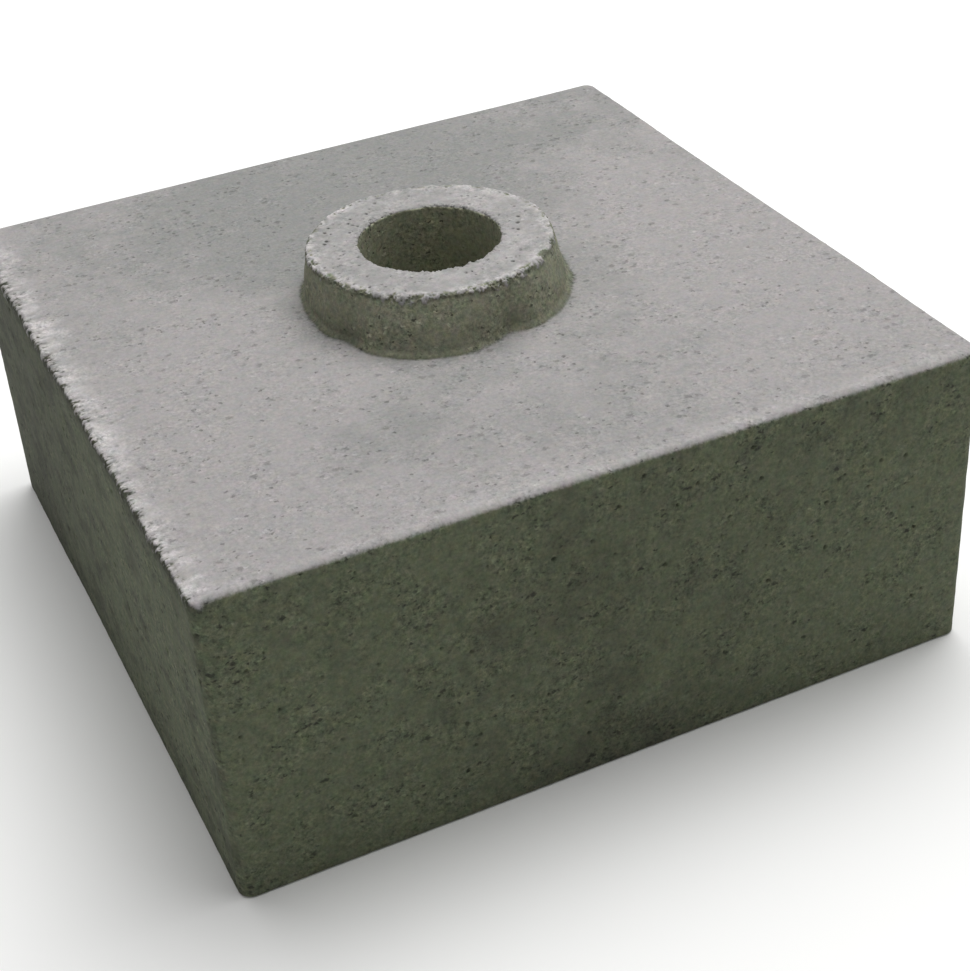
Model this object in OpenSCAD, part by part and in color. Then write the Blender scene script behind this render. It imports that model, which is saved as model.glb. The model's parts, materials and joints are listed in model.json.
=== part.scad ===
// Column base block: a square concrete footing cast in one piece, with a low
// round collar standing on its flat top and a straight bore through both, in
// which a round steel post stands.
// Millimetres. The origin is in the middle of the underside, +Z is up and the
// front of the block is at -Y.

/* [Block] */
// Width of the block, from its left side to its right
block_w = 350; // [250:5:500]
// Depth of the block, from its front to its back
block_d = 350; // [250:5:500]
// Height of the block, from the underside to the flat top
block_h = 150; // [80:5:300]
// Radius of the four upright corners
corner_r = 6; // [2:0.5:20]
// Radius of the softened edge round the flat top
top_edge_r = 4; // [1:0.5:20]

/* [Collar] */
// Height of the collar above the flat top
collar_h = 25; // [16:1:60]
// Thickness of the collar's wall at its rim
collar_wall = 23.5; // [12:0.5:40]
// How far the collar's side leans in from its foot to its rim
collar_lean = 3; // [0:0.5:8]
// Radius of the fillet between the collar's foot and the flat top
foot_fillet_r = 4; // [1:0.5:10]
// Radius of the softened outer edge of the rim
rim_edge_r = 2.5; // [0.5:0.5:5]

/* [Bore] */
// Diameter of the bore
bore_d = 65; // [30:1:100]
// Radius of the softened edge at the bore's mouth
mouth_edge_r = 2; // [0.5:0.5:5]

/* [Hidden] */

total_h = block_h + collar_h;
bore_r = bore_d / 2;
rim_r = bore_r + collar_wall;
foot_r = rim_r + collar_lean;

// Angle at which the collar's side leans in from the upright
lean_angle = atan(collar_lean / collar_h);
// A round edge in a corner that leans by lean_angle has its centre this share
// of its radius away from that corner
lean_share = (1 - sin(lean_angle)) / cos(lean_angle);

// The top edge turns round the corners, so it is no wider than they are
edge_r = min(top_edge_r, corner_r);

// What is cut or joined runs this far past the face it meets
overlap = 5;
// The collar and the mouth are turned from here outwards, inside the bore, so
// that the bore alone makes its wall
heart_r = bore_r / 2;

round_faces = 128; // faces round the collar and the bore
corner_faces = 32; // faces round a whole corner post
arc_steps = 6;     // straight steps in one rounded edge

// Points on an arc from angle a0 to angle a1
function arc(centre, r, a0, a1) = [
    for (i = [0:arc_steps])
        let (a = a0 + (a1 - a0) * i / arc_steps)
            centre + r * [cos(a), sin(a)]
];

// One upright corner of the block: a post with a rounded top edge
module corner_post() {
    edge_centre = [corner_r - edge_r, block_h - edge_r];
    rotate_extrude($fn = corner_faces)
        polygon(concat(
            [[0, 0], [corner_r, 0]],
            arc(edge_centre, edge_r, 0, 90),
            [[0, block_h]]
        ));
}

// The block itself, drawn tight round its four corners
module block() {
    hull()
        for (side = [-1, 1], end = [-1, 1])
            translate([
                side * (block_w / 2 - corner_r),
                end * (block_d / 2 - corner_r),
                0
            ])
                corner_post();
}

// The collar: a leaning side between the fillet at its foot and its soft rim
module collar() {
    foot_centre = [foot_r + foot_fillet_r * lean_share, block_h + foot_fillet_r];
    rim_centre = [rim_r - rim_edge_r * lean_share, total_h - rim_edge_r];
    rotate_extrude($fn = round_faces)
        polygon(concat(
            [[heart_r, block_h - overlap], [foot_centre.x, block_h - overlap]],
            arc(foot_centre, foot_fillet_r, 270, 180 + lean_angle),
            arc(rim_centre, rim_edge_r, lean_angle, 90),
            [[heart_r, total_h]]
        ));
}

// The straight hole for the post
module bore() {
    translate([0, 0, -overlap])
        cylinder(h = total_h + 2 * overlap, r = bore_r, $fn = round_faces);
}

// What the softened edge takes off round the mouth of the bore
module mouth() {
    edge_centre = [bore_r + mouth_edge_r, total_h - mouth_edge_r];
    rotate_extrude($fn = round_faces)
        polygon(concat(
            [[heart_r, edge_centre.y]],
            arc(edge_centre, mouth_edge_r, 180, 90),
            [[edge_centre.x, total_h + overlap], [heart_r, total_h + overlap]]
        ));
}

// The whole casting
module base_block() {
    color("darkgray")
        difference() {
            union() {
                block();
                collar();
            }
            bore();
            mouth();
        }
}

base_block();
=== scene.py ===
"""Looks of a column base block: one pressed-concrete casting with a round collar.

Laid out as a Blender add-on and run as a script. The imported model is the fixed
frame; sizes come from it and from the properties below. Everything is built in
metres, in that same frame.
"""

import json
import math
from functools import partial
from types import SimpleNamespace

import bpy
import numpy as np
from bpy.props import FloatProperty, FloatVectorProperty, IntProperty, PointerProperty
from bpy.types import Operator, Panel, PropertyGroup
from mathutils import Euler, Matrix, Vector


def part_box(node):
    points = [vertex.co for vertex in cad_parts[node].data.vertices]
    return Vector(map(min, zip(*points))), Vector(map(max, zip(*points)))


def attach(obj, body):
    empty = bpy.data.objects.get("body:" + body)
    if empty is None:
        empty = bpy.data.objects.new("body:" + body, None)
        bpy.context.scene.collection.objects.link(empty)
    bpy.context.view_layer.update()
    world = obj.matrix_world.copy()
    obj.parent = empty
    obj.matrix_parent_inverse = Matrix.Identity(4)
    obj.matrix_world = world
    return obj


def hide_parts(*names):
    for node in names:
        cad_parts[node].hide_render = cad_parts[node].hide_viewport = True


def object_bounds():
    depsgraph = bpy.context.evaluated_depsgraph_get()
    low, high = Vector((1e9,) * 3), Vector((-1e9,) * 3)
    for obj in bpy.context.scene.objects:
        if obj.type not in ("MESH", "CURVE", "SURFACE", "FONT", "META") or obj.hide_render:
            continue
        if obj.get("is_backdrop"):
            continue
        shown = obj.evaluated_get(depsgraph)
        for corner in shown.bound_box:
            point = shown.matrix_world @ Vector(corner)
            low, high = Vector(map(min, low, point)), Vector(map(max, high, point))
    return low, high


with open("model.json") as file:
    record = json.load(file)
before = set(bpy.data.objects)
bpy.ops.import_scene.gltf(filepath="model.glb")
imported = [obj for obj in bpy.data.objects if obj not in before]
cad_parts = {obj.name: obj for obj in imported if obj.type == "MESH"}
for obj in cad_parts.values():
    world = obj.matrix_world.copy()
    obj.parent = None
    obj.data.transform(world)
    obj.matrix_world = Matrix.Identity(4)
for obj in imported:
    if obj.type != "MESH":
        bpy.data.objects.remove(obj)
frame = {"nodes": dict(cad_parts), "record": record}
CAD_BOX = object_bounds()

bl_info = {
    "name": "Column base block",
    "version": (1, 0, 0),
    "blender": (4, 5, 0),
    "location": "View3D > Sidebar > Column base",
    "description": "Casts a concrete column base block round its packed model",
    "category": "Add Mesh",
}

MM = 0.001
NODE = "base_block"
MOUNTS = {mount["name"]: mount for mount in frame["record"]["mounts"]}


def srgb(code):
    """Linear RGB of an sRGB hex colour such as 9E9C9B."""
    shares = [int(code[i : i + 2], 16) / 255 for i in (0, 2, 4)]
    return [s / 12.92 if s <= 0.04045 else ((s + 0.055) / 1.055) ** 2.4 for s in shares]


# ---------------------------------------------------------------- the frame's sizes


def frame_sizes():
    """The block's own sizes in metres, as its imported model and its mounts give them."""
    low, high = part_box(NODE)
    places = np.array([v.co for v in frame["nodes"][NODE].data.vertices])
    from_axis = np.hypot(places[:, 0], places[:, 1])
    seat = MOUNTS["column_seat"]["pos_m"][2]
    bore = MOUNTS["post_bore"]["dims"]["r_mm"] * MM
    height = places[:, 2]
    return {
        "half_width": high.x,
        "half_depth": high.y,
        "seat": seat,
        "top": high.z,
        "bore": bore,
        "mouth": from_axis[height > high.z - MM / 10].min(),
        "rim": from_axis[height > high.z - 3 * MM].max(),
        "foot": from_axis[height > seat + 3 * MM].max(),
    }


SIZES = frame_sizes()


# ---------------------------------------------------------------- properties


class BlockSurface(PropertyGroup):
    """Sizes of the edges and of the relief that casting left on the block."""

    corner_radius: FloatProperty(
        name="Upright corner",
        description="Radius of the four upright corners",
        default=6 * MM,
        min=1 * MM,
        unit="LENGTH",
    )
    front_edge: FloatProperty(
        name="Front top edge",
        description="Radius of the soft edge along the front of the top",
        default=4.2 * MM,
        min=0.5 * MM,
        unit="LENGTH",
    )
    ragged_edge: FloatProperty(
        name="Left top edge",
        description="Radius of the ragged edge along the left of the top",
        default=1.6 * MM,
        min=0.5 * MM,
        unit="LENGTH",
    )
    far_edge: FloatProperty(
        name="Far top edges",
        description="Radius of the right and back edges of the top",
        default=2.5 * MM,
        min=0.5 * MM,
        unit="LENGTH",
    )
    rim_edge: FloatProperty(
        name="Rim edge",
        description="Radius of the collar's outer edge",
        default=1.8 * MM,
        min=0.5 * MM,
        unit="LENGTH",
    )
    foot_fillet: FloatProperty(
        name="Foot fillet",
        description="Radius of the hollow between the collar's side and the top",
        default=3.6 * MM,
        min=0.5 * MM,
        unit="LENGTH",
    )
    crumbs: FloatProperty(
        name="Crumbs",
        description="How far crumbs of paste stand out along the ragged edges",
        default=0.75 * MM,
        min=0.0,
        unit="LENGTH",
    )
    pit_radius: FloatProperty(
        name="Largest pit",
        description="Radius of the largest air pit in the moulded sides",
        default=1.7 * MM,
        min=0.2 * MM,
        unit="LENGTH",
    )
    spacing: FloatProperty(
        name="Surface spacing",
        description="Distance between the points that the surface is worked out at",
        default=0.8 * MM,
        min=0.3 * MM,
        unit="LENGTH",
    )
    triangles: IntProperty(
        name="Triangles",
        description="Most triangles that the finished block keeps",
        default=192000,
        min=10000,
    )


class ConcreteColours(PropertyGroup):
    """Colours of the dry pressed top and of the moulded sides, which are darker partly as damp
    concrete and partly as painted shade; the collar's side and the bore carry painted light.
    """

    dry: FloatVectorProperty(
        name="Dry top",
        description="Dry cement skin on the pressed top",
        default=srgb("989594"),
        subtype="COLOR",
        size=3,
        min=0,
        max=1,
    )
    # Partly real darker patches and partly painted shade: the top turns to this colour in its clouds
    # and towards its back
    dry_shade: FloatVectorProperty(
        name="Dry top, darker clouds",
        description="Patches of the top where less cement came up",
        default=srgb("858583"),
        subtype="COLOR",
        size=3,
        min=0,
        max=1,
    )
    laitance: FloatVectorProperty(
        name="Laitance",
        description="Pale cement bloom along the edges and the rim",
        default=srgb("B6B3B2"),
        subtype="COLOR",
        size=3,
        min=0,
        max=1,
    )
    # Painted shade: this side colour is partly damp concrete and partly painted shade, darker and
    # greener than the top as shaded faces look
    moulded: FloatVectorProperty(
        name="Moulded side",
        description="Green-grey concrete where the mould pressed it smooth",
        default=srgb("5E644F"),
        subtype="COLOR",
        size=3,
        min=0,
        max=1,
    )
    # Partly real darker patches and partly painted shade: it is laid in random patches, in the
    # painted light falloff, and where shade is painted under the left edge and at the collar's foot
    moulded_shade: FloatVectorProperty(
        name="Moulded side, darker clouds",
        description="Damper, browner patches of the moulded sides",
        default=srgb("4A4D3E"),
        subtype="COLOR",
        size=3,
        min=0,
        max=1,
    )
    # Painted light: the collar's side and the bore are drawn lighter, as light thrown up from the
    # pale top makes them look
    core: FloatVectorProperty(
        name="Collar side and bore",
        description="Drier, yellower concrete where the core tool slid out",
        default=srgb("92947F"),
        subtype="COLOR",
        size=3,
        min=0,
        max=1,
    )
    pore: FloatVectorProperty(
        name="Pore",
        description="Shaded inside of an open pore",
        default=srgb("24241F"),
        subtype="COLOR",
        size=3,
        min=0,
        max=1,
    )


class StudioSetup(PropertyGroup):
    """Where the camera and the lights stand round the block."""

    azimuth: FloatProperty(
        name="Azimuth",
        description="Camera's turn round the block, from straight in front",
        default=math.radians(-23.2),
        subtype="ANGLE",
        unit="ROTATION",
    )
    elevation: FloatProperty(
        name="Elevation",
        description="Camera's height angle above the floor",
        default=math.radians(33.9),
        subtype="ANGLE",
        unit="ROTATION",
    )
    roll: FloatProperty(
        name="Roll",
        description="How far the camera is tipped about its own line of sight",
        default=math.radians(4.15),
        subtype="ANGLE",
        unit="ROTATION",
    )
    distance: FloatProperty(
        name="Distance",
        description="From the camera to the point it looks at",
        default=0.9007,
        unit="LENGTH",
    )
    lens: FloatProperty(
        name="Lens",
        description="Focal length on a 36 mm sensor",
        default=69.8,
        min=10,
        unit="CAMERA",
    )
    aim: FloatVectorProperty(
        name="Aim",
        description="Point that the camera looks at",
        default=(0.0073, -0.0259, 0.0522),
        subtype="TRANSLATION",
        size=3,
    )
    key_power: FloatProperty(
        name="Overhead light",
        description="Power of the large soft light above and behind the block",
        default=70.0,
        min=0,
        unit="POWER",
    )
    key_size: FloatProperty(
        name="Overhead light's size",
        description="Side of the square overhead light",
        default=2.2,
        min=0.1,
        unit="LENGTH",
    )
    key_place: FloatVectorProperty(
        name="Overhead light's place",
        description="Where the middle of the overhead light is",
        default=(0.55, 0.5, 2.3),
        subtype="TRANSLATION",
        size=3,
    )
    sky: FloatProperty(
        name="Room light",
        description="Strength of the even light from the whole room",
        default=0.28,
        min=0,
    )
    floor_reach: FloatProperty(
        name="Floor's reach",
        description="From the block's middle to each side of the floor",
        default=6.0,
        min=1.0,
        unit="LENGTH",
    )
    floor: FloatVectorProperty(
        name="Floor",
        description="Colour of the pale floor",
        default=srgb("F8F8F7"),
        subtype="COLOR",
        size=3,
        min=0,
        max=1,
    )


# ---------------------------------------------------------------- random relief

# Cells of random relief lie askew to the block, so that no flat face cuts them square.
ASKEW = np.array(Euler((0.51, 0.73, 0.34)).to_matrix())


def scatter(x, y, z, seed):
    """A fixed random number from 0 to 1 for each whole-number cell x, y, z."""
    h = x.astype(np.uint32) * np.uint32(73856093)
    h = h ^ (y.astype(np.uint32) * np.uint32(19349663))
    h = h ^ (z.astype(np.uint32) * np.uint32(83492791))
    h = h + np.uint32((seed * 2654435761) & 0xFFFFFFFF)
    for _ in range(2):
        h = (h ^ (h >> np.uint32(16))) * np.uint32(73244475)
    return (h ^ (h >> np.uint32(16))).astype(np.float32) / np.float32(2**32)


def noise(places, size, seed):
    """Smooth noise from -1 to 1 with bumps about size across."""
    q = (places @ ASKEW.T / size).astype(np.float32)
    cell = np.floor(q).astype(np.int32)
    f = q - cell
    f = f * f * f * (f * (f * 6 - 15) + 10)
    total = np.zeros(len(places), np.float32)
    for corner in np.ndindex(2, 2, 2):
        weight = np.prod([f[:, k] if c else 1 - f[:, k] for k, c in enumerate(corner)], axis=0)
        total += weight * scatter(*(cell + corner).T, seed)
    return 2 * total - 1


def rough(places, size, seed, octaves=3, gain=0.5):
    """Noise summed over ever smaller bumps, from about -1 to 1."""
    total, weight = 0, 0
    for i in range(octaves):
        total = total + gain**i * noise(places, size / 2**i, seed + i)
        weight += gain**i
    return total / weight


def holes(places, cell, share, smallest, largest, seed):
    """How far inside a round hole each point lies, as a share of the hole's radius, and that
    radius. So large a share of the cells has a hole each, most of them small, and none is
    more than half a cell in radius."""
    q = places @ ASKEW.T
    base = np.floor(q / cell - 0.5).astype(np.int32)
    inside = np.zeros(len(places), np.float32)
    size = np.zeros(len(places), np.float32)
    for step in np.ndindex(2, 2, 2):
        c = base + np.array(step)
        at = np.flatnonzero(scatter(*c.T, seed) < share)
        c = c[at]
        centre = (c + np.stack([scatter(*c.T, seed + k) for k in (1, 2, 3)], 1)) * cell
        radius = smallest + (largest - smallest) * scatter(*c.T, seed + 4) ** 3
        depth = 1 - np.linalg.norm(q[at] - centre, axis=1) / radius
        deeper = depth > inside[at]
        inside[at[deeper]] = depth[deeper]
        size[at[deeper]] = radius[deeper]
    return inside, size


def ease(x, low, high):
    """0 below low, 1 above high and a smooth S between."""
    t = np.clip((x - low) / (high - low), 0, 1)
    return t * t * (3 - 2 * t)


def near(distance, reach):
    """1 at a line and 0 beyond so far from it, with a smooth fall between."""
    return 1 - ease(distance, 0.25 * reach, reach)


# ---------------------------------------------------------------- the surface grid
# The block has one hole through it, so a single closed grid covers it: columns run
# round the bore, and rows run up the bore, over the collar, across the top, down the
# sides and back to the bore under the block.

CORNER_TURNS = 12  # columns round each upright corner
CHAMFER = 0.8 * MM  # of the bottom edge
# How far apart columns are on the front, right, back and left, as shares of the spacing
COARSENESS = (1.0, 1.7, 1.7, 0.62)


def plan_columns(surface, step):
    """Each column's place on the outline of the plan: its straight or corner centre,
    and its outward direction."""
    half = np.array([SIZES["half_width"], SIZES["half_depth"]])
    r = surface.corner_radius
    # Sides in order round the block: front, right, back, left
    starts = [(-1, -1), (1, -1), (1, 1), (-1, 1)]
    anchors, directions = [], []
    for k in range(4):
        a = np.array(starts[k]) * (half - r)
        b = np.array(starts[(k + 1) % 4]) * (half - r)
        facing = np.array([(0, -1), (1, 0), (0, 1), (-1, 0)][k], float)
        count = max(2, round(np.linalg.norm(b - a) / (step * COARSENESS[k])))
        t = np.arange(count)[:, None] / count
        anchors.append(a + (b - a) * t)
        directions.append(np.repeat(facing[None], count, 0))
        angle = math.radians(90 * k - 90) + math.pi / 2 * np.arange(CORNER_TURNS) / CORNER_TURNS
        anchors.append(np.repeat(b[None], CORNER_TURNS, 0))
        directions.append(np.stack([np.cos(angle), np.sin(angle)], 1))
    return np.concatenate(anchors), np.concatenate(directions)


def edge_radii(surface, directions):
    """Radius of the top edge at each column, which turns smoothly from side to side."""
    x, y = directions.T
    front, left = np.maximum(-y, 0) ** 2, np.maximum(-x, 0) ** 2
    far = 1 - front - left
    return surface.front_edge * front + surface.ragged_edge * left + surface.far_edge * far


def spaced(length, step):
    """Shares from 0 to just under 1 along a stretch of that length."""
    count = max(2, round(length / step))
    return np.arange(count) / count


def grid(surface, step):
    """Points of the plain surface, as rows by columns by 3."""
    anchors, directions = plan_columns(surface, step)
    radii = edge_radii(surface, directions)
    r = surface.corner_radius
    outer = anchors + directions * r
    inner = anchors + directions * (r - radii)[:, None]
    ray = inner / np.linalg.norm(inner, axis=1, keepdims=True)
    seat, top, bore = SIZES["seat"], SIZES["top"], SIZES["bore"]
    mouth_r = SIZES["mouth"] - bore
    rim_r, fillet_r = surface.rim_edge, surface.foot_fillet
    rows = []

    def add(plan, z):
        rows.append(np.column_stack([plan, np.broadcast_to(z, len(plan))]))

    def ring(radius, z):
        add(ray * radius, z)

    for t in spaced(1, 1 / 60):  # up the bore, closer together towards its mouth
        ring(bore, (top - mouth_r) * (1 - (1 - t) ** 1.6))
    for t in spaced(1, 1 / 6):  # the softened mouth
        a = math.pi / 2 * t
        ring(bore + mouth_r * (1 - math.cos(a)), top - mouth_r * (1 - math.sin(a)))
    start, end = bore + mouth_r, SIZES["rim"] - rim_r
    for t in spaced(end - start, step * 0.75):  # the flat of the rim
        ring(start + (end - start) * t, top)
    for t in spaced(1, 1 / 7):  # the rim's outer edge
        a = math.pi / 2 * t
        ring(end + rim_r * math.sin(a), top - rim_r * (1 - math.cos(a)))
    fall = top - rim_r - (seat + fillet_r)
    for t in spaced(fall, step * 0.75):  # down the leaning side
        ring(SIZES["rim"] + (SIZES["foot"] - SIZES["rim"]) * t, top - rim_r - fall * t)
    for t in spaced(1, 1 / 9):  # the fillet at the foot
        a = math.pi / 2 * t
        ring(SIZES["foot"] + fillet_r * (1 - math.cos(a)), seat + fillet_r * (1 - math.sin(a)))
    fillet_out = SIZES["foot"] + fillet_r
    reach = np.linalg.norm(inner, axis=1).min() - fillet_out
    for t in spaced(reach, step * 0.8):  # across the flat top
        add(ray * fillet_out * (1 - t) + inner * t, seat)
    for t in spaced(1, 1 / 12):  # over the top edge
        a = math.pi / 2 * t
        add(inner + (outer - inner) * math.sin(a), seat - radii * (1 - math.cos(a)))
    for t in spaced(seat - CHAMFER, step):  # down the sides
        add(outer, seat - radii - (seat - radii - CHAMFER) * t)
    for t in spaced(1, 1 / 2):  # the bottom edge
        add(outer - directions * CHAMFER * t, CHAMFER * (1 - t))
    under = anchors + directions * (r - CHAMFER)
    for t in spaced(SIZES["half_width"], step * 6):  # back under the block
        add(under * (1 - t) + ray * bore * t, 0.0)
    return np.stack(rows)


def outward(points):
    """Unit normals of a closed grid, pointing out of the solid."""
    along = np.roll(points, -1, 1) - np.roll(points, 1, 1)
    onward = np.roll(points, -1, 0) - np.roll(points, 1, 0)
    normal = np.cross(onward, along)
    return normal / np.maximum(np.linalg.norm(normal, axis=2, keepdims=True), 1e-12)


# ---------------------------------------------------------------- the cast relief
# Each kind of relief has its own size in millimetres and its own seed, so that no two of
# them follow each other.

# The marks from 0 to 1 at each point, which the material reads
MARKS = (
    "open_skin",  # 1 on the dry pressed top, 0 on the moulded sides
    "pit_depth",  # 1 where an air pit is PIT_FULL deep
    "bloom",  # pale cement along the edges, on the rim and on loose grains
    "damp",  # painted shade under the left edge, between crumbs and at the collar's foot, and blotches down the left side
    "core",  # painted light on the collar's side and in the bore, less just under the rim's edge, which leaves painted shade there
    "cloud",  # slow light and dark patches, plus painted light falloff: lighter towards the left and right, darker towards the back
    "torn",  # where the pale skin ends in a torn edge
)
PIT_FULL = 0.8 * MM
# How far from its line each edge shapes the skin, is crumbled and has its skin torn
SKIN_REACH = {"far": 8 * MM, "front": 9 * MM, "left": 8 * MM}
CRUMBLED_REACH = {"left": 6 * MM, "rim": 5 * MM}
TORN_REACH = {"left": 6 * MM, "rim": 4 * MM}
# The dry skin ends between so far below the left edge's line and so far in from it
SKIN_END = (-2.2 * MM, 1.8 * MM)
# Width of the band beside the collar's foot over which the moulded skin ends
FOOT_BAND = 4.5 * MM
# Where the collar's foot was pushed out, and by how many millimetres. Each stretch starts
# and ends softly, between bearings in degrees from straight in front, plus to the right.
PUSHED_OUT = [((-62, -46), (-2, 12), 5.2), ((8, 30), (95, 125), 4.0)]


def landmarks(points):
    """Where each point of the plain surface lies: its place and normal, how far it is from the
    block's own lines, and how near to them."""
    at = SimpleNamespace(p=points.reshape(-1, 3), n=outward(points).reshape(-1, 3))
    at.x, at.y, at.z = at.p.T
    at.from_axis = np.hypot(at.x, at.y)
    at.from_left, at.from_front = SIZES["half_width"] + at.x, SIZES["half_depth"] + at.y
    from_far = np.minimum(SIZES["half_width"] - at.x, SIZES["half_depth"] - at.y)
    at.drop = SIZES["seat"] - at.z
    at.past_foot = at.from_axis - SIZES["foot"]
    at.to_left = np.hypot(at.from_left, at.drop)
    at.to_rim = np.hypot(at.from_axis - SIZES["rim"], at.z - SIZES["top"])
    at.to_mouth = np.hypot(at.from_axis - SIZES["bore"], at.z - SIZES["top"])
    at.far = near(np.hypot(from_far, at.drop), SKIN_REACH["far"])
    at.front = near(np.hypot(at.from_front, at.drop), SKIN_REACH["front"])
    at.under = at.z < MM / 100
    at.left_side = at.to_left < at.to_rim  # nearer to the left edge than to the rim
    # The rim crumbled most on its front left side
    worn = 0.45 + 0.55 * ease(-(at.x + 2 * at.y) / at.from_axis, -0.8, 0.8)
    at.ragged, at.torn = (
        np.maximum(near(at.to_left, reach["left"]), near(at.to_rim, reach["rim"]) * worn)
        for reach in (CRUMBLED_REACH, TORN_REACH)
    )
    at.foot_wave = rough(at.p, 19 * MM, 45, 2)
    at.open = open_skin(at)
    at.moulded = 1 - at.open
    return at


def open_skin(at):
    """1 on the pressed top and the rim, 0 on the moulded sides, with a soft step at each edge. It
    sets where the pale top colour gives way to the darker side colour, which is partly painted
    shade.
    """
    soft = np.maximum(at.front, at.far)
    share = ease(at.n[:, 2], 0.15 + 0.15 * at.front + 0.5 * at.far, 0.85 + 0.14 * soft)
    over_left = np.where(at.drop < at.from_left, at.from_left, -at.drop)
    share += (ease(over_left, *SKIN_END) - share) * near(at.to_left, SKIN_REACH["left"])
    # The moulded skin runs on over the fillet at the collar's foot
    foot_line = SIZES["foot"] + (1.0 + 1.5 * at.foot_wave) * MM
    skirt = ease(at.from_axis, foot_line, foot_line + FOOT_BAND)
    return np.where(at.z > SIZES["top"] - 5 * MM, share, share * skirt)


def pushed_foot(at):
    """How far the collar's side leans out from the bore, most at its foot."""
    wave = 2.2 * at.foot_wave - 1.0
    bearing = np.degrees(np.arctan2(at.x, -at.y))
    for start, end, reach in PUSHED_OUT:
        wave = wave + reach * (ease(bearing, *start) * (1 - ease(bearing, *end)))
    down = (SIZES["top"] - at.z - MM) / (SIZES["top"] - SIZES["seat"] - 4 * MM)
    push = wave * MM * np.clip(down, 0, 1) * (1 - ease(at.past_foot, 2 * MM, 18 * MM))
    return push * ease(at.from_axis, SIZES["bore"] + 6 * MM, SIZES["rim"])


def air_pits(surface, at):
    """Depth of the air pits: larger and irregular on the sides, small on the top, and more of
    them on the rim, because nothing pressed on it."""
    warp = np.stack([noise(at.p, 2.4 * MM, 60 + k) for k in range(3)], 1)
    warped = (at.p + 0.6 * MM * warp) * (1, 1, 1.5)
    sides = at.moulded * (at.from_axis > 2 * SIZES["bore"])
    rim = at.open * (-at.drop > 10 * MM)
    # Cell, share of cells that have a pit, largest radius, seed, and where these pits are
    kinds = [
        (5.5 * MM, 0.50, surface.pit_radius, 71, sides),
        (5.0 * MM, 0.16, 1.1 * MM, 81, at.open),
        (3.6 * MM, 0.80, 1.2 * MM, 85, rim),
    ]
    depth = 0
    for cell, share, largest, seed, where in kinds:
        inside, size = holes(warped, cell, share, 0.5 * MM, largest, seed)
        depth = depth + ease(inside, 0, 0.8) * size * where
    return depth * (1 - 0.8 * at.ragged)


def torn_crumbs(at):
    """Crumbs of paste along the torn edges, from about -1, a gap, to 1, a crumb. They stand
    side by side like the teeth of a comb on the left edge, and are round on the rim."""
    teeth = rough(at.p * (0.50, 1, 0.60), 1.7 * MM, 51, 2, 0.8)
    crumb = np.where(at.left_side, teeth, rough(at.p, 2.4 * MM, 55, 3, 0.8))
    return (0.8 + 0.7 * noise(at.p, 8 * MM, 57)) * crumb + 0.25 * noise(at.p, 5 * MM, 58)


def loose_grains(at):
    """Loose grains pressed into the top, mostly along the left edge and on the rim: how far up
    a grain each point lies, and the grain's radius."""
    inside, size = holes(at.p, 3.6 * MM, 0.45, 0.4 * MM, 1.1 * MM, 65)
    where = np.clip(near(at.from_left, 16 * MM) + near(at.to_rim, 12 * MM) + 0.2, 0, 1)
    return ease(inside, 0, 0.9) * at.open * where, size


def cast_relief(surface, points):
    """Moves the plain surface's points to the cast one, and returns them with their marks."""
    at = landmarks(points)
    p, n = at.p, at.n
    crumb = torn_crumbs(at)
    grains, grain_size = loose_grains(at)
    pit = air_pits(surface, at)
    # Slow waves that the mould and the pressing left, and the lumps of sand under the skin
    d = 0.30 * MM * noise(p, 70 * MM, 11)
    d += (0.04 + 0.10 * at.moulded) * MM * rough(p, 5 * MM, 21)
    # The front edge and the left edge wander in and out
    d += 0.9 * MM * at.front * rough(p, 22 * MM, 41, 3)
    d += 0.9 * MM * near(at.to_left, 9 * MM) * rough(p, 13 * MM, 43, 2)
    # Crumbs stand out less along the left edge than on the rim, and notch the bore's mouth
    lumps = np.where(at.left_side, 0.55, 1.0) * np.clip(2.2 * crumb - 0.1, -1.0, 1.2)
    d += surface.crumbs * at.ragged * lumps
    d += 1.5 * MM * near(at.to_mouth, 4 * MM) * crumb
    # The rim is lumpy, since it was only struck off
    d += 0.45 * MM * near(at.to_rim, 24 * MM) * at.open * rough(p, 4 * MM, 59, 2)
    d += 0.5 * grain_size * grains
    d -= pit
    # The core tool left the bore smoother than the rest
    d *= np.where(at.from_axis < SIZES["bore"] + MM / 10, 0.35, 1.0)
    moved = p + n * np.where(at.under, 0, d)[:, None]
    push = np.where(at.under, 0, pushed_foot(at))
    moved[:, :2] += p[:, :2] * (push / at.from_axis)[:, None]
    # Nothing reaches below the underside, which stays flat
    moved[:, 2] = np.maximum(moved[:, 2], 0)
    return moved.reshape(points.shape), surface_marks(at, crumb, grains, pit)


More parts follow.
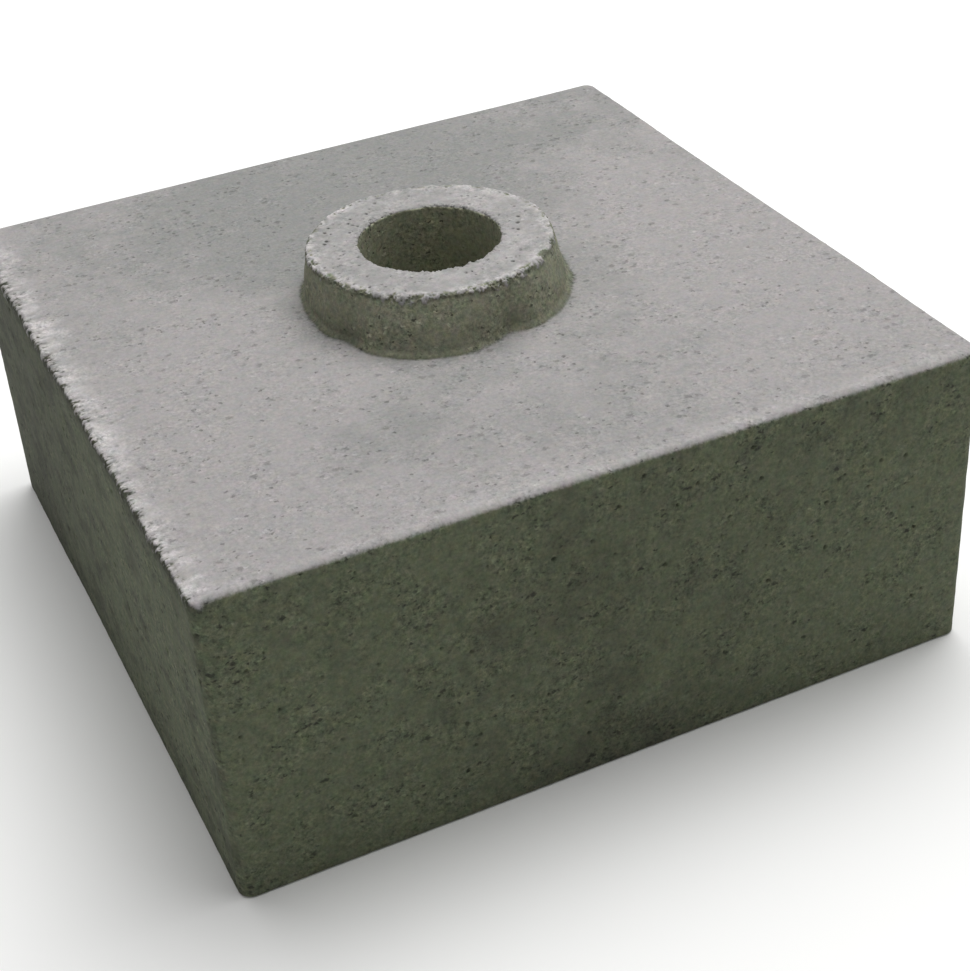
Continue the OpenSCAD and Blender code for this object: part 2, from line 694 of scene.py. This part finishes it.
def surface_marks(at, crumb, grains, pit):
    """The marks at each point, by name."""
    skin = at.open + at.ragged * np.where(at.left_side, 1.6 * crumb, 4.0 * crumb - 0.3)
    wander = rough(at.p, 17 * MM, 91, 3)
    combed = np.clip(0.62 + 1.6 * rough(at.p * (0.18, 1, 0.5), 2.2 * MM, 93, 2, 0.7), 0, 1)
    left_band = near(at.from_left + 8 * MM * wander, 16 * MM) * combed
    front_band = 0.3 * near(at.from_front + 9 * MM * wander, 13 * MM)
    on_collar = ease(-at.drop, 8 * MM, 18 * MM) * (0.25 + 0.5 * near(at.to_rim, 8 * MM))
    on_collar *= np.clip(0.8 + 1.6 * rough(at.p, 5 * MM, 97, 3, 0.7), 0, 1.6)
    bloom = at.open * np.maximum(np.maximum(left_band, front_band), on_collar)
    bloom = np.clip(bloom + grains + 1.6 * at.ragged * np.clip(crumb, 0, 1), 0, 1)
    # Painted shade in a band under the left edge, in the gaps between crumbs, and on the collar's
    # side, more so towards its foot; blotches down the left side, darker towards the back
    gaps = at.ragged * ease(-crumb, 0.05, 0.35)
    under_edge = 0.5 * near(at.to_left, 13 * MM) + 0.5 * near(at.to_left, 5 * MM)
    damp = np.maximum(at.moulded * under_edge, gaps)
    on_left = ease(at.from_axis - at.from_left, 0.10, 0.12) * (at.from_left < 2 * MM)
    blotch = ease(rough(at.p * (1, 0.55, 1.1), 8 * MM, 77, 3, 0.7), 0.0, 0.40)
    damp = np.maximum(damp, on_left * (0.04 + 0.24 * ease(at.y, -0.10, 0.12) + 0.45 * blotch))
    beside_collar = (at.from_axis > SIZES["bore"] + 6 * MM) * near(at.past_foot, 12 * MM)
    damp = np.maximum(damp, beside_collar * at.moulded * (0.22 + 0.26 * near(-at.drop, 16 * MM)))
    cloud = 0.55 + 0.5 * rough(at.p, 55 * MM, 315, 3)
    # Painted light falloff over the top: lighter towards the left and right sides, darker towards
    # the back
    cloud += 0.5 * ease(np.abs(at.x), 0.04, 0.13) - 0.45 * ease(at.y, -0.03, 0.13)
    # Painted light on the collar's side and in the bore; cut back just under the rim, which paints
    # shade there
    core = (1 - ease(at.from_axis, SIZES["foot"] - MM, SIZES["foot"] + 4 * MM)) * ~at.under
    core *= 1 - 0.55 * near(at.to_rim, 4 * MM)
    marks = (skin, pit / PIT_FULL, bloom, damp, core, cloud, at.torn)
    return {name: np.clip(mark, 0, 1) for name, mark in zip(MARKS, marks)}


def closed_grid_mesh(name, points, fields):
    """A mesh of quads over a grid that closes on itself both ways."""
    rows, columns = points.shape[:2]
    index = np.arange(rows * columns).reshape(rows, columns)
    right, above = np.roll(index, -1, 1), np.roll(index, -1, 0)
    quads = np.stack([index, above, np.roll(above, -1, 1), right], 2).reshape(-1, 4)
    mesh = bpy.data.meshes.new(name)
    mesh.vertices.add(rows * columns)
    mesh.vertices.foreach_set("co", points.astype(np.float32).ravel())
    mesh.loops.add(quads.size)
    mesh.loops.foreach_set("vertex_index", quads.astype(np.int32).ravel())
    mesh.polygons.add(len(quads))
    mesh.polygons.foreach_set("loop_start", np.arange(0, quads.size, 4, dtype=np.int32))
    mesh.update(calc_edges=True)
    for field, values in fields.items():
        held = mesh.attributes.new(field, "FLOAT", "POINT")
        held.data.foreach_set("value", values.astype(np.float32))
    return mesh


def thin_out(piece, most):
    """Collapses the flattest edges of a piece until it has at most so many triangles."""
    faces = 2 * len(piece.data.polygons)
    if faces <= most:
        return
    thin = piece.modifiers.new("thin_out", "DECIMATE")
    thin.ratio = most / faces
    graph = bpy.context.evaluated_depsgraph_get()
    done = bpy.data.meshes.new_from_object(piece.evaluated_get(graph), depsgraph=graph)
    piece.modifiers.clear()
    old, piece.data = piece.data, done
    bpy.data.meshes.remove(old)


# ---------------------------------------------------------------- materials


def add_node(tree, kind, inputs=(), output=0, **settings):
    """Adds a shader node with its settings, and returns one of its outputs. The inputs are a
    list in the node's own order or a dictionary: a socket is linked, any other value is set."""
    made = tree.nodes.new("ShaderNode" + kind)
    for key, value in settings.items():
        setattr(made, key, value)
    pairs = inputs.items() if isinstance(inputs, dict) else enumerate(inputs)
    for key, value in pairs:
        if isinstance(value, bpy.types.NodeSocket):
            tree.links.new(value, made.inputs[key])
        else:
            made.inputs[key].default_value = value
    return made.outputs[output] if len(made.outputs) else None


def per_metre(millimetres):
    """Pattern scale whose features are that many millimetres across."""
    return 1 / (millimetres * MM)


SOFT = {"interpolation_type": "SMOOTHSTEP"}
COLOUR = {"data_type": "RGBA", "output": 2}  # of a Mix node, whose colours are inputs 6 and 7


def new_material(name):
    """A material with an empty node tree, and the function that adds a node to it."""
    material = bpy.data.materials.new(name)
    material.use_nodes = True
    material.node_tree.nodes.clear()
    return material, partial(add_node, material.node_tree)


def pressed_concrete(colours):
    """Vibro-pressed concrete: zero-slump mix rammed into a steel mould. The open top dries to a matt
    pale skin with pinholes; the mould leaves the sides denser, damper and darker, and their darker
    colour is partly painted shade."""
    material, add = new_material("vibro_pressed_concrete")
    tone = {name: (*getattr(colours, name), 1.0) for name in colours.__annotations__}
    mark = {name: add("Attribute", output="Fac", attribute_name=name) for name in MARKS}
    place = add("TexCoord", output="Object")
    torn = add("VectorMath", [place, (0.5, 1.0, 0.6)], operation="MULTIPLY")
    drawn = add("VectorMath", [place, (1.0, 1.0, 0.6)], operation="MULTIPLY")
    # Each pattern's size in millimetres, its detail and roughness, and where it is read
    patterns = {
        "blotch": (12, 3, 0.60, place),  # how the feed box spread the mix
        "sand": (1.6, 3, 0.75, place),  # 0 to 2 mm sand, drawn coarse: its dust would not show
        "stone": (4, 3, 0.75, place),  # grains of other stone
        "uneven": (1.6, 1, 0.50, place),  # puts the dots out of round
        "crowd": (17, 3, 0.60, place),  # where pinholes and crumbs crowd together
        "comb": (1.5, 2, 0.75, torn),  # torn paste, drawn out across the left edge
        "streak": (9, 3, 0.65, drawn),  # where the mould was drawn up past the sides
    }
    seen = {}
    for name, (size, detail, roughness, at) in patterns.items():
        inputs = {"Vector": at, "Scale": per_metre(size), "Detail": detail, "Roughness": roughness}
        seen[name] = add("TexNoise", inputs, output="Fac")

    # Where the pale dry skin ends and the moulded face starts, ragged by single grains
    skin = add("Math", [seen["sand"], 0.5, mark["open_skin"]], operation="MULTIPLY_ADD")
    tear = add("Math", [seen["comb"], 2.6, -1.3], operation="MULTIPLY_ADD")
    skin = add("Math", [mark["torn"], tear, skin], operation="MULTIPLY_ADD")
    skin = add("MapRange", [skin, 0.35, 1.15], **SOFT)

    # The dry top: clouds of darker cement with painted light falloff, and pale bloom along its edges
    half_blotch = add("Math", [seen["blotch"], 0.5], operation="MULTIPLY")
    cloudy_and_light_falloff = add("Math", [mark["cloud"], 0.5, half_blotch], operation="MULTIPLY_ADD")
    light_cloud_and_falloff = add("MapRange", [cloudy_and_light_falloff, 0.30, 0.70], **SOFT)
    dry = add("Mix", {0: light_cloud_and_falloff, 6: tone["dry_shade"], 7: tone["dry"]}, **COLOUR)
    patches = add("MapRange", [seen["blotch"], 0.3, 0.6, 0.6, 1.0], **SOFT)
    bloom = add("Math", [mark["bloom"], patches], operation="MULTIPLY")
    dry = add("Mix", {0: bloom, 6: dry, 7: tone["laitance"]}, **COLOUR)

    # The moulded sides: drawn streaks and patches, darker partly as damp concrete and partly as
    # painted shade, and lighter on the collar and in the bore with painted light
    # The same clouds and painted light falloff also set the sides' darker patches
    clouds_and_light_falloff = add("Math", [cloudy_and_light_falloff, 0.6], operation="MULTIPLY")
    patchy = add("Math", [seen["streak"], 0.4, clouds_and_light_falloff], operation="MULTIPLY_ADD")
    patchy = add("MapRange", [patchy, 0.33, 0.67], **SOFT)
    # The painted shade and blotches of the damp mark pull the side towards its darker colour
    patchy = add("Math", [patchy, mark["damp"]], operation="SUBTRACT")
    side_colour_and_shade = add("Mix", {0: patchy, 6: tone["moulded_shade"], 7: tone["moulded"]}, **COLOUR)
    # Painted light: the collar's side and the bore turn towards the lighter collar colour
    side_colour_and_shade = add("Mix", {0: mark["core"], 6: side_colour_and_shade, 7: tone["core"]}, **COLOUR)
    base = add("Mix", {0: skin, 6: side_colour_and_shade, 7: dry}, **COLOUR)

    # Stone of other hues tints the sides more than the cement-covered top
    hue = seen["stone"].node.outputs["Color"]
    hue = add("VectorMath", [hue, (0.5, 0.5, 0.5)], operation="SUBTRACT")
    tint = add("MapRange", [skin, 0.0, 1.0, 0.42, 0.18], **SOFT)
    hue = add("VectorMath", [hue, tint, (1.0, 1.0, 1.0)], operation="MULTIPLY_ADD")
    base = add("VectorMath", [base, hue], operation="MULTIPLY")

    # Single grains lighten and darken the face, more so on the sides, on the rim and where
    # pinholes and crumbs of paste crowd together
    crowding = add("MapRange", [seen["crowd"], 0.36, 0.64, -1.0, 1.0], **SOFT)
    face = add("MapRange", [skin, 0.0, 1.0, 2.7, 1.1], **SOFT)
    contrast = add("Math", [mark["bloom"], 0.9, face], operation="MULTIPLY_ADD")
    crowded = add("Math", [crowding, 0.35, 1.0], operation="MULTIPLY_ADD")
    contrast = add("Math", [contrast, crowded], operation="MULTIPLY")
    fine = add("Math", [seen["sand"], 0.7], operation="MULTIPLY")
    grain = add("Math", [seen["stone"], 0.3, fine], operation="MULTIPLY_ADD")
    grain = add("Math", [grain, 0.5], operation="SUBTRACT")
    grain = add("Math", [grain, contrast, 1.0], operation="MULTIPLY_ADD")

    # Dots are out of round and drawn out on a slant, as the mix slid past the mould
    jitter = 2.6 * MM
    warped = [seen["uneven"].node.outputs["Color"], (jitter, jitter, jitter), place]
    warped = add("VectorMath", warped, operation="MULTIPLY_ADD")
    slant = {"Vector": warped, "Rotation": (0.0, math.radians(40), 0.0), "Scale": (0.62, 0.8, 1.1)}
    slant = add("Mapping", slant)

    def specks(across, spacing, share):
        """Uneven dots up to that many millimetres across, in about so large a share of the cells."""
        cells = add("TexVoronoi", {"Vector": slant, "Scale": per_metre(spacing)}).node.outputs
        picked = add("Math", [crowding, 0.22, cells["Color"]], operation="MULTIPLY_ADD")
        picked = add("MapRange", [picked, 1 - share, 1.35 - share], **SOFT)
        radius = across / spacing / 2
        dot = add("MapRange", [cells["Distance"], 0.4 * radius, radius, 1.0, 0.0], **SOFT)
        return add("Math", [picked, dot], operation="MULTIPLY")

    # Pinholes and larger pits are fainter on the top, and pits are fainter on the collar's side and
    # in the bore.
    # Real pinholes are mostly under 1 mm: they are drawn up to 1.6 mm, or they would not show.
    top_share = add("MapRange", [skin, 0.2, 0.8, 0.75, 0.45], **SOFT)
    pinhole = add("Math", [specks(1.6, 2.6, 0.52), top_share], operation="MULTIPLY")
    top_share = add("MapRange", [skin, 0.2, 0.6, 1.0, 0.38], **SOFT)
    pit = add("Math", [specks(2.9, 4.7, 0.565), top_share], operation="MULTIPLY")
    smooth = add("Math", [mark["core"], -0.7, 1.0], operation="MULTIPLY_ADD")
    pit = add("Math", [pit, smooth], operation="MULTIPLY")
    crumb = specks(2.2, 3.7, 0.50)
    lighter = add("MapRange", [skin, 0.0, 1.0, 0.55, 0.20], **SOFT)
    light = add("Math", [crumb, lighter, grain], operation="MULTIPLY_ADD")
    base = add("VectorMath", {0: base, "Scale": light}, operation="SCALE")
    hollow = pinhole  # pits and pinholes take the pore colour as painted shade, and so do the damp mark's painted shade and blotches
    for dark, share in ((pit, 0.85), (mark["pit_depth"], 0.5), (mark["damp"], 0.45)):
        shaded = add("Math", [dark, share], operation="MULTIPLY")
        hollow = add("Math", [hollow, shaded], operation="MAXIMUM")
    base = add("Mix", {0: hollow, 6: base, 7: tone["pore"]}, **COLOUR)

    height = add("Math", [crumb, 0.35], operation="MULTIPLY")
    height = add("Math", [seen["sand"], 0.45, height], operation="MULTIPLY_ADD")
    height = add("Math", [height, hollow], operation="SUBTRACT")
    relief = add("Bump", {"Strength": 0.7, "Distance": 0.5 * MM, "Height": height})
    # IOR and roughness are typical of concrete; open pores leave it less of a sheen
    shader = add(
        "BsdfPrincipled",
        {
            "Base Color": base,
            "Roughness": add("MapRange", [seen["blotch"], 0.3, 0.7, 0.84, 0.95], **SOFT),
            "IOR": 1.5,
            "Specular IOR Level": 0.35,
            "Normal": relief,
        },
    )
    add("OutputMaterial", {"Surface": shader})
    return material


def matt_paper(colour):
    """Seamless studio paper: uncoated and matt, so it takes a soft shadow and no reflection."""
    material, add = new_material("matt_studio_paper")
    finish = {"Base Color": (*colour, 1.0), "Roughness": 0.95, "Specular IOR Level": 0.1}
    add("OutputMaterial", {"Surface": add("BsdfPrincipled", finish)})
    return material


# ---------------------------------------------------------------- operators

FEWEST_FACES = 1000  # with fewer, something went wrong with the block's surface


class COLUMNBASE_OT_cast_block(Operator):
    """Cast the concrete block with its collar and bore"""

    bl_idname = "column_base.cast_block"
    bl_label = "Cast block"

    def execute(self, context):
        surface = context.scene.column_base_surface
        step = surface.spacing * 1
        points, fields = cast_relief(surface, grid(surface, step))
        mesh = closed_grid_mesh("concrete_block", points, fields)
        piece = bpy.data.objects.new("concrete_block", mesh)
        context.scene.collection.objects.link(piece)
        thin_out(piece, surface.triangles)
        piece.data.name = "concrete_block"
        piece.data.polygons.foreach_set("use_smooth", [True] * len(piece.data.polygons))
        piece.data.materials.append(pressed_concrete(context.scene.column_base_colours))
        if len(piece.data.polygons) < FEWEST_FACES:
            raise RuntimeError("the block's surface came out with almost no faces")
        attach(piece, "root")
        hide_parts(NODE)
        return {"FINISHED"}


class COLUMNBASE_OT_set_stage(Operator):
    """Lay the floor and set up the lights and the camera"""

    bl_idname = "column_base.set_stage"
    bl_label = "Set stage"

    def execute(self, context):
        studio = context.scene.column_base_studio
        self.lay_floor(context, studio)
        self.hang_lights(context, studio)
        self.set_camera(context, studio)
        context.scene.view_settings.view_transform = "Standard"
        return {"FINISHED"}

    def lay_floor(self, context, studio):
        reach = studio.floor_reach
        mesh = bpy.data.meshes.new("floor")
        corners = [(x * reach, y * reach, 0) for x, y in ((-1, -1), (1, -1), (1, 1), (-1, 1))]
        mesh.from_pydata(corners, [], [(0, 1, 2, 3)])
        mesh.materials.append(matt_paper(studio.floor))
        floor = bpy.data.objects.new("floor", mesh)
        context.scene.collection.objects.link(floor)
        floor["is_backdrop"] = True

    def hang_lights(self, context, studio):
        middle = Vector((0, 0, SIZES["seat"]))
        lamp = bpy.data.lights.new("overhead_softbox", "AREA")
        lamp.energy = studio.key_power
        lamp.size = studio.key_size
        light = bpy.data.objects.new("overhead_softbox", lamp)
        light.location = studio.key_place
        light.rotation_euler = (light.location - middle).to_track_quat("Z", "Y").to_euler()
        context.scene.collection.objects.link(light)
        world = bpy.data.worlds.new("room")
        world.use_nodes = True
        backdrop = world.node_tree.nodes["Background"]
        backdrop.inputs["Color"].default_value = (1, 1, 1, 1)
        backdrop.inputs["Strength"].default_value = studio.sky
        context.scene.world = world

    def set_camera(self, context, studio):
        a, e = studio.azimuth, studio.elevation
        back = Vector((math.sin(a) * math.cos(e), -math.cos(a) * math.cos(e), math.sin(e)))
        data = bpy.data.cameras.new("camera")
        data.lens = studio.lens
        camera = bpy.data.objects.new("camera", data)
        camera.location = Vector(studio.aim) + back * studio.distance
        upright = back.to_track_quat("Z", "Y").to_matrix()
        tip = Euler((0, 0, -studio.roll)).to_matrix()
        camera.rotation_euler = (upright @ tip).to_euler()
        context.scene.collection.objects.link(camera)
        context.scene.camera = camera


class COLUMNBASE_PT_sidebar(Panel):
    """Lists the block's sizes, colours and stage, with a button for each step"""

    bl_idname = "COLUMNBASE_PT_sidebar"
    bl_label = "Column base block"
    bl_space_type = "VIEW_3D"
    bl_region_type = "UI"
    bl_category = "Column base"

    def draw(self, context):
        for group, operator in (
            ("column_base_surface", "column_base.cast_block"),
            ("column_base_colours", None),
            ("column_base_studio", "column_base.set_stage"),
        ):
            box = self.layout.box()
            held = getattr(context.scene, group)
            for name in held.__annotations__:
                box.prop(held, name)
            if operator:
                box.operator(operator)


GROUPS = {
    "column_base_surface": BlockSurface,
    "column_base_colours": ConcreteColours,
    "column_base_studio": StudioSetup,
}
OPERATORS = (COLUMNBASE_OT_cast_block, COLUMNBASE_OT_set_stage)


def register():
    for kind in (*GROUPS.values(), *OPERATORS, COLUMNBASE_PT_sidebar):
        bpy.utils.register_class(kind)
    for name, kind in GROUPS.items():
        setattr(bpy.types.Scene, name, PointerProperty(type=kind))


def unregister():
    for name in GROUPS:
        delattr(bpy.types.Scene, name)
    for kind in reversed((*GROUPS.values(), *OPERATORS, COLUMNBASE_PT_sidebar)):
        bpy.utils.unregister_class(kind)


def main():
    register()
    bpy.ops.column_base.cast_block()
    bpy.ops.column_base.set_stage()
    sizes = {"cad": CAD_BOX, "visual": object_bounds()}
    {k: [list(corner) for corner in box] for k, box in sizes.items()}


if __name__ == "__main__":
    main()
